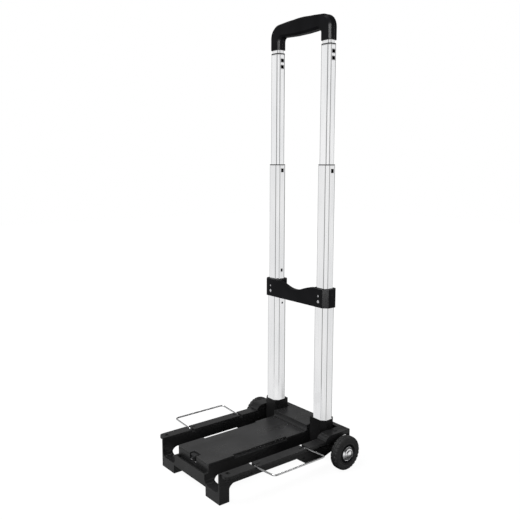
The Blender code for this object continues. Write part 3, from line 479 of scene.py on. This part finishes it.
def make_studio_world():
    """White to the camera. Soft light comes from above, from the front and from low on the right.
    Reflections show a ring of pale panels with dark gaps between them, a dim panel high at the back,
    and dark ground on the right."""
    world = bpy.data.worlds.new("studio")
    bpy.context.scene.world = world
    world.use_nodes = True
    tree = world.node_tree
    add, link_to = tree.nodes.new, tree.links.new
    direction = add("ShaderNodeTexCoord").outputs["Generated"]
    parts = add("ShaderNodeSeparateXYZ")
    link_to(direction, parts.inputs[0])

    def maths(operation, *values):
        node = add("ShaderNodeMath")
        node.operation = operation
        for slot, value in enumerate(values):
            if isinstance(value, (int, float)):
                node.inputs[slot].default_value = value
            else:
                link_to(value, node.inputs[slot])
        return node.outputs[0]

    turn = maths("ARCTAN2", parts.outputs["Y"], parts.outputs["X"])
    turn = maths("MULTIPLY_ADD", turn, 1 / (2 * math.pi), 0.5)
    rise = maths("MULTIPLY_ADD", maths("ARCSINE", parts.outputs["Z"]), 1 / math.pi, 0.5)

    def ramp(value, pairs, circle):
        node = add("ShaderNodeValToRGB")
        link_to(value, node.inputs[0])
        set_stops(node, pairs, circle)
        return node.outputs[0]

    def around(pairs):
        return ramp(turn, pairs, 360)

    def up(pairs):
        return ramp(rise, pairs, 180)

    ring = maths("MULTIPLY", around(RING_AROUND), up(RING_UP))
    back = maths("MULTIPLY", maths("MULTIPLY", around(BACK_AROUND), up(BACK_UP)), BACK_PANEL)
    dark_ground = maths("MULTIPLY", around(DARK_AROUND), up(DARK_UP))
    shown = maths("MULTIPLY", maths("MAXIMUM", ring, back), maths("SUBTRACT", 1.0, dark_ground))
    above = maths("MAXIMUM", parts.outputs["Z"], 0.0)
    before = maths("MAXIMUM", maths("MULTIPLY", parts.outputs["Y"], -1.0), 0.0)
    beside = maths("MAXIMUM", parts.outputs["X"], 0.0)
    soft = maths("MULTIPLY_ADD", above, SOFT_ABOVE, SOFT_LEAST)
    soft = maths("MULTIPLY_ADD", before, SOFT_FRONT, soft)
    soft = maths("MULTIPLY_ADD", maths("MULTIPLY", beside, up(SOFT_UP)), SOFT_RIGHT, soft)
    path = add("ShaderNodeLightPath")
    mirror, seen = path.outputs["Is Glossy Ray"], path.outputs["Is Camera Ray"]
    not_mirror = maths("SUBTRACT", 1.0, mirror)
    lit = maths("ADD", maths("MULTIPLY", mirror, shown), maths("MULTIPLY", not_mirror, soft))
    strength = maths("MAXIMUM", lit, seen)
    background = tree.nodes["Background"]
    background.inputs["Color"].default_value = (1, 1, 1, 1)
    link_to(strength, background.inputs["Strength"])


def ground_plane(name, low, high):
    corners = [(low[0], low[1], 0), (high[0], low[1], 0), (high[0], high[1], 0), (low[0], high[1], 0)]
    mesh = bpy.data.meshes.new(name)
    mesh.from_pydata(corners, [], [(0, 1, 2, 3)])
    return link(name, mesh)


def make_floor():
    """A plain white floor. It glows to the camera only, so it throws no light up under the cart."""
    floor = ground_plane("floor", (-FLOOR_REACH, -FLOOR_REACH), (FLOOR_REACH, FLOOR_REACH))
    floor.location.z = -FLOOR_DROP
    floor.visible_glossy = False
    n = Nodes("floor")
    cloud = n.noise(3, 2)
    colour = n.blend(n.spread(cloud, 0, 1), (0.07, 0.07, 0.07), (0.08, 0.08, 0.08))
    n.finish(colour, 0.9, specular=0.0)
    n.shader.inputs["Emission Color"].default_value = (1, 1, 1, 1)
    seen = n.add("ShaderNodeLightPath").outputs["Is Camera Ray"]
    n.join(n.maths("MULTIPLY", seen, FLOOR_GLOW), n.shader.inputs["Emission Strength"])
    floor.data.materials.append(n.material)


def make_ground_shade():
    """A dark sheet that paints the shade on the ground under the cart. Only the base's own faces
    reflect it.
    """
    shade = ground_plane("ground_shade", SHADE_LOW, SHADE_HIGH)
    shade.visible_camera = False
    shade.visible_diffuse = False
    shade.visible_shadow = False
    n = Nodes("ground_shade")
    colour = n.blend(n.noise(20, 2), (0.004, 0.004, 0.004), (0.008, 0.008, 0.008))
    n.finish(colour, 0.9, specular=0.0)
    # Painted reflection: the sheet glows pale where the poles mirror it.
    n.painted_pale_reflection()
    shade.data.materials.append(n.material)


def turns(degrees):
    return Euler([math.radians(angle) for angle in degrees])


def make_key_light():
    """A soft light from above that leaves no highlights."""
    lamp = bpy.data.lights.new("key", "SUN")
    lamp.energy = KEY
    lamp.angle = math.radians(KEY_SPREAD)
    lamp.specular_factor = 0.0
    key = link("key", lamp)
    key.rotation_euler = turns(KEY_TURN)


def make_strip_light():
    """A tall strip beside the camera, which only the gloss black pieces mirror."""
    lamp = bpy.data.lights.new("strip", "AREA")
    lamp.shape = "RECTANGLE"
    lamp.size, lamp.size_y = STRIP_SIZE
    lamp.energy = STRIP
    lamp.diffuse_factor = 0.0
    strip = link("strip", lamp)
    strip.location = STRIP_PLACE
    strip.rotation_euler = turns(STRIP_TURN)
    strip.visible_camera = False
    glossy = bpy.data.collections.new("gloss black pieces")
    for obj in bpy.data.objects:
        if obj.type == "MESH" and obj.active_material == LOOKS["gloss_black"]:
            glossy.objects.link(obj)
    strip.light_linking.receiver_collection = glossy


# Camera

CAMERA_HEIGHT = 0.66
CAMERA_SIDE = 1.0839  # right of the cart's middle
CAMERA_FRONT = 0.9802  # in front of the poles
CAMERA_TILT = 8.383  # degrees down from level
CAMERA_TURN = 51.44
CAMERA_ROLL = 0.12
CAMERA_LENS = 44.92  # mm, on a film 36 mm wide


def make_camera():
    lens = bpy.data.cameras.new("camera")
    lens.lens = CAMERA_LENS
    lens.sensor_width = 36
    camera = link("camera", lens)
    camera.location = (CAMERA_SIDE, POLE_Y - CAMERA_FRONT, CAMERA_HEIGHT)
    aim = turns((90 - CAMERA_TILT, 0, CAMERA_TURN)).to_matrix()
    camera.rotation_euler = (aim @ Matrix.Rotation(math.radians(CAMERA_ROLL), 3, "Z")).to_euler()
    bpy.context.scene.camera = camera


# Finishes of the CAD nodes, and the poles


def dress_frame():
    """Gives every CAD node that stays in view its finish."""
    darker = ("rail_screw_", "lock_pin_upper_", "lock_pin_middle_")
    for node, obj in frame["nodes"].items():
        dress(obj, "dark_steel" if node.startswith(darker) else SLOTS[node])


CORNER = 0.0014  # radius of the extrusions' corners


def is_outer_corner(edge):
    """True on the long upright edges outside an extrusion."""
    along = edge.verts[1].co - edge.verts[0].co
    return abs(along.z) > 0.9 * along.length and along.length > 0.02


def make_poles():
    """The extrusions with their corners rounded over, and painted shade on their inner faces."""
    for name, side in SIDES:
        axis = Vector((side * POLE.x, POLE_Y, 0))
        for part in ("lower_tube_", "middle_tube_", "upper_tube_", "handle_neck_"):
            metal = "upper_aluminium" if part == "upper_tube_" else "aluminium"
            looks = [metal, "inside"]
            pole = softened(part + name, "aluminium", CORNER, is_outer_corner, 4, looks, anywhere=True)
            # The inward faces take the painted shade of the tube's inside.
            for face in pole.data.polygons:
                outward = face.center - axis
                outward.z = 0
                if face.normal.dot(outward) < 0 and abs(face.normal.z) < 0.5:
                    face.material_index = 1


# Mouldings


def make_mouldings():
    """The plastic mouldings with their edges rounded over."""
    soft = longer_than(0.0018)
    softened("base_frame", "black_abs", 0.0006, soft)
    softened("rear_deck", "black_abs", 0.0006, soft)
    softened("platform_plate", "black_abs", 0.0005, soft, looks=["plate_abs"])
    softened("clamp_front", "gloss_black", 0.0006, soft)
    softened("handle_front", "gloss_black", 0.0008, soft)
    softened("handle_back", "gloss_black", 0.0008, soft)
    softened("push_button", "gloss_black", 0.0006, soft)
    softened("front_catch", "nylon", 0.0003, longer_than(0.0012))
    for name, side in SIDES:
        softened("hinge_shoe_" + name, "black_abs", 0.0006, soft, looks=["shoe_black"])
        softened("clamp_back_" + name, "gloss_black", 0.0006, soft)
        for collar in ("middle_collar_", "upper_collar_"):
            softened(collar + name, "gloss_black", 0.0002, soft, segments=1, looks=["shoe_black"])


# Wheels


def arc(centre, radius, start, end, steps):
    points = []
    for i in range(steps + 1):
        angle = math.radians(start + (end - start) * i / steps)
        points.append((centre[0] + radius * math.cos(angle), centre[1] + radius * math.sin(angle)))
    return points


def outward_solid(name, verts, faces):
    """An object made of the given faces, all of them turned outwards."""
    mesh = bpy.data.meshes.new(name)
    mesh.from_pydata(verts, [], faces)
    shape = bmesh.new()
    shape.from_mesh(mesh)
    bmesh.ops.recalc_face_normals(shape, faces=shape.faces)
    shape.to_mesh(mesh)
    shape.free()
    return link(name, mesh)


def turned(name, profile, centre, side, segments, closed=True, push=None):
    """A shape turned about the wheel's axle. The profile is (outward distance, radius) points. An open
    profile starts and ends on the axle. push returns how far a point is sunk towards the axle."""
    verts = []
    inner = profile if closed else profile[1:-1]
    for k in range(segments):
        angle = 2 * math.pi * k / segments
        for out, radius in inner:
            reach = radius - (push(out, radius, angle) if push else 0)
            y, z = centre.y + reach * math.cos(angle), centre.z + reach * math.sin(angle)
            verts.append((centre.x + side * out, y, z))
    count = len(inner)
    faces = []
    for k in range(segments):
        here, there = k * count, ((k + 1) % segments) * count
        for i in range(count if closed else count - 1):
            j = (i + 1) % count
            faces.append((here + i, here + j, there + j, there + i))
        if not closed:
            faces.append((count * segments, here, there))
            faces.append((here + count - 1, count * segments + 1, there + count - 1))
    if not closed:
        for out, radius in (profile[0], profile[-1]):
            verts.append((centre.x + side * out, centre.y, centre.z))
    return outward_solid(name, verts, faces)


GROOVE_RADIUS, GROOVE_HALF, GROOVE_DEPTH = 0.0092, 0.0024, 0.0008  # round the middle of the cap
LUGS = 26
LUG_DEPTH = 0.0015
RIB_HALF = 0.0030  # half the width of the tread's middle rib
STEPS_PER_LUG = 12


def smooth_step(value, low, high):
    t = max(0.0, min(1.0, (value - low) / (high - low)))
    return t * t * (3 - 2 * t)


def tread(out, radius, angle):
    """Sinks the gaps between the shoulder lugs, and two zigzag grooves beside the middle rib."""
    depth = smooth_step(radius, TYRE_RADIUS - 0.0062, TYRE_RADIUS - 0.0022)
    if depth == 0:
        return 0.0
    turn = angle * LUGS / (2 * math.pi) + (0.5 if out > 0 else 0.0)
    phase = turn - math.floor(turn)
    gap = smooth_step(phase, 0.0, 0.10) * (1 - smooth_step(phase, 0.28, 0.38))
    gap *= smooth_step(abs(out), RIB_HALF - 0.0003, RIB_HALF + 0.0005)
    zigzag = RIB_HALF - 0.0008 + 0.0006 * abs(2 * (2 * turn - math.floor(2 * turn)) - 1)
    groove = 1 - smooth_step(abs(abs(out) - zigzag), 0.0002, 0.0006)
    return LUG_DEPTH * depth * max(gap, 0.8 * groove)


def tyre_profile():
    """The tyre's section: side walls with two shallow rings, round shoulders and a flat tread."""
    half, shoulder, rim = TYRE_HALF, 0.0052, RIM_RADIUS + 0.0003
    wall = [(rim, 0.0), (rim + 0.0018, 0.0)]
    wall += [(rim + 0.0024, 0.0003), (rim + 0.0050, 0.0003), (rim + 0.0056, 0.0), (rim + 0.0084, 0.0)]
    wall += [(rim + 0.0088, 0.0002), (rim + 0.0093, 0.0002), (rim + 0.0098, 0.0)]
    outer = [(half - sunk, radius) for radius, sunk in wall]
    outer += arc((half - shoulder, TYRE_RADIUS - shoulder), shoulder, 0, 90, 9)
    flat = half - shoulder
    steps = 14
    across = [(flat - 2 * flat * i / steps, TYRE_RADIUS) for i in range(1, steps)]
    inner = [(-x, r) for x, r in reversed(outer)]
    return outer + across + inner


def hub_profile():
    """The black wheel centre: a lip, a sunk ring round the cap, and the seat that the cap sits on."""
    out = HUB_HIGH.x - WHEEL["right"].x
    back = WHEEL["right"].x - HUB_LOW.x
    seat = CAP_LOW.x - WHEEL["right"].x - 0.0003
    sunk = seat - 0.0030
    bore, boss, cup = 0.0043, 0.0085, 0.0078
    lip, band = 0.0004, 0.0030
    profile = [(-back, bore), (-back, boss), (-back + 0.0038, boss)]
    profile += [(-back + 0.0038, RIM_RADIUS - band), (-back + 0.0015, RIM_RADIUS - band)]
    profile += [(-back + 0.0015, RIM_RADIUS)]
    profile += [(out - lip, RIM_RADIUS), (out, RIM_RADIUS - lip)]
    profile += [(out, RIM_RADIUS - 0.0012), (out - lip, RIM_RADIUS - 0.0016)]
    profile += [(sunk, RIM_RADIUS - 0.0024), (sunk, CAP_RADIUS + 0.0004), (seat, CAP_RADIUS + 0.0002)]
    profile += [(seat, cup), (sunk, cup), (sunk, bore)]
    return profile


def cap_profile():
    """A thin domed shell with a rolled edge, and a shallow groove round its centre."""
    foot, apex = CAP_LOW.x - WHEEL["right"].x, CAP_HIGH.x - WHEEL["right"].x
    height, skin, rolled = apex - foot, 0.0014, 0.0007
    reach = CAP_RADIUS - rolled
    rise = height - rolled
    ball = (reach**2 + rise**2) / (2 * rise)
    widest = math.degrees(math.asin(reach / ball))
    outside = []
    for x, radius in arc((apex - ball, 0.0), ball, 0, widest, 40):
        along = abs(radius - GROOVE_RADIUS) / GROOVE_HALF
        sunk = GROOVE_DEPTH * (1 + math.cos(math.pi * along)) / 2 if along < 1 else 0
        outside.append((x - sunk, radius))
    edge = arc((foot + rolled, reach), rolled, 60, 180, 5)
    inside_ball = ball - skin
    start = math.degrees(math.asin((reach - 0.0006) / inside_ball))
    inside = [(x, r) for x, r in arc((apex - ball, 0.0), inside_ball, start, 0, 8) if x > foot]
    return outside + edge + inside


def make_wheels():
    for name, side in SIDES:
        centre = WHEEL[name]
        segments = LUGS * STEPS_PER_LUG
        tyre = turned("tyre_" + name + "_tread", tyre_profile(), centre, side, segments, push=tread)
        dress(tyre, "rubber")
        smooth_with_edges(tyre, 40)
        stand_in(tyre, "tyre_" + name)
        hub = turned("wheel_centre_" + name, hub_profile(), centre, side, 96)
        dress(hub, "gloss_black")
        smooth_with_edges(hub, 35)
        stand_in(hub, "wheel_hub_" + name)
        cap = turned("hub_cap_" + name + "_dome", cap_profile(), centre, side, 72, closed=False)
        dress(cap, "satin_chrome")
        smooth_with_edges(cap, 60)
        stand_in(cap, "hub_cap_" + name)


# Wire loops

WIRE_SIDES = 20


def loop_path(side):
    """The loop's bent path: two ends that lie in the rail, two arms and the long outer bar."""
    front, back = LOOP_LOW.y + WIRE, LOOP_HIGH.y - WIRE
    reach = (LOOP_HIGH.x - WIRE - LOOP_PIVOT) / math.cos(LOOP_LIFT)
    height = LOOP_LOW.z + WIRE
    nook, bend = 0.003, 0.008
    flat = [(0.0, front + LOOP_LEG)]
    flat += arc((nook, front + nook), nook, 180, 270, 8)
    flat += arc((reach - bend, front + bend), bend, 270, 360, 12)
    flat += arc((reach - bend, back - bend), bend, 0, 90, 12)
    flat += arc((nook, back - nook), nook, 90, 180, 8)
    flat += [(0.0, back - LOOP_LEG)]
    points = []
    for out, y in flat:
        x = side * (LOOP_PIVOT + out * math.cos(LOOP_LIFT))
        points.append(Vector((x, y, height + out * math.sin(LOOP_LIFT))))
    return points


def wire_along(name, points, normal):
    """A round wire that follows the points, which all lie in the plane square to the normal."""
    last = len(points) - 1
    verts = []
    for i, point in enumerate(points):
        before = (point - points[i - 1]).normalized() if i else (points[1] - point).normalized()
        after = (points[i + 1] - point).normalized() if i < last else before
        along = (before + after).normalized()
        across = along.cross(normal).normalized() / max(0.7, along.dot(after))
        for k in range(WIRE_SIDES):
            angle = 2 * math.pi * k / WIRE_SIDES
            step = across * (WIRE * math.cos(angle)) + normal * (WIRE * math.sin(angle))
            verts.append(point + step)
    faces = [tuple(range(WIRE_SIDES)), tuple(range(last * WIRE_SIDES, (last + 1) * WIRE_SIDES))]
    for i in range(last):
        here, there = i * WIRE_SIDES, (i + 1) * WIRE_SIDES
        for k in range(WIRE_SIDES):
            beside = (k + 1) % WIRE_SIDES
            faces.append((here + k, here + beside, there + beside, there + k))
    return outward_solid(name, [tuple(vert) for vert in verts], faces)


def make_loops():
    for name, side in SIDES:
        normal = Vector((-side * math.sin(LOOP_LIFT), 0, math.cos(LOOP_LIFT)))
        loop = wire_along("wire_loop_" + name + "_bar", loop_path(side), normal)
        dress(loop, "chrome")
        smooth_with_edges(loop, 50)
        stand_in(loop, "wire_loop_" + name)


dress_frame()
make_poles()
make_mouldings()
make_wheels()
make_loops()
make_studio_world()
make_floor()
make_ground_shade()
make_key_light()
make_strip_light()
make_camera()
bpy.context.scene.view_settings.view_transform = "Standard"
bpy.context.view_layer.update()
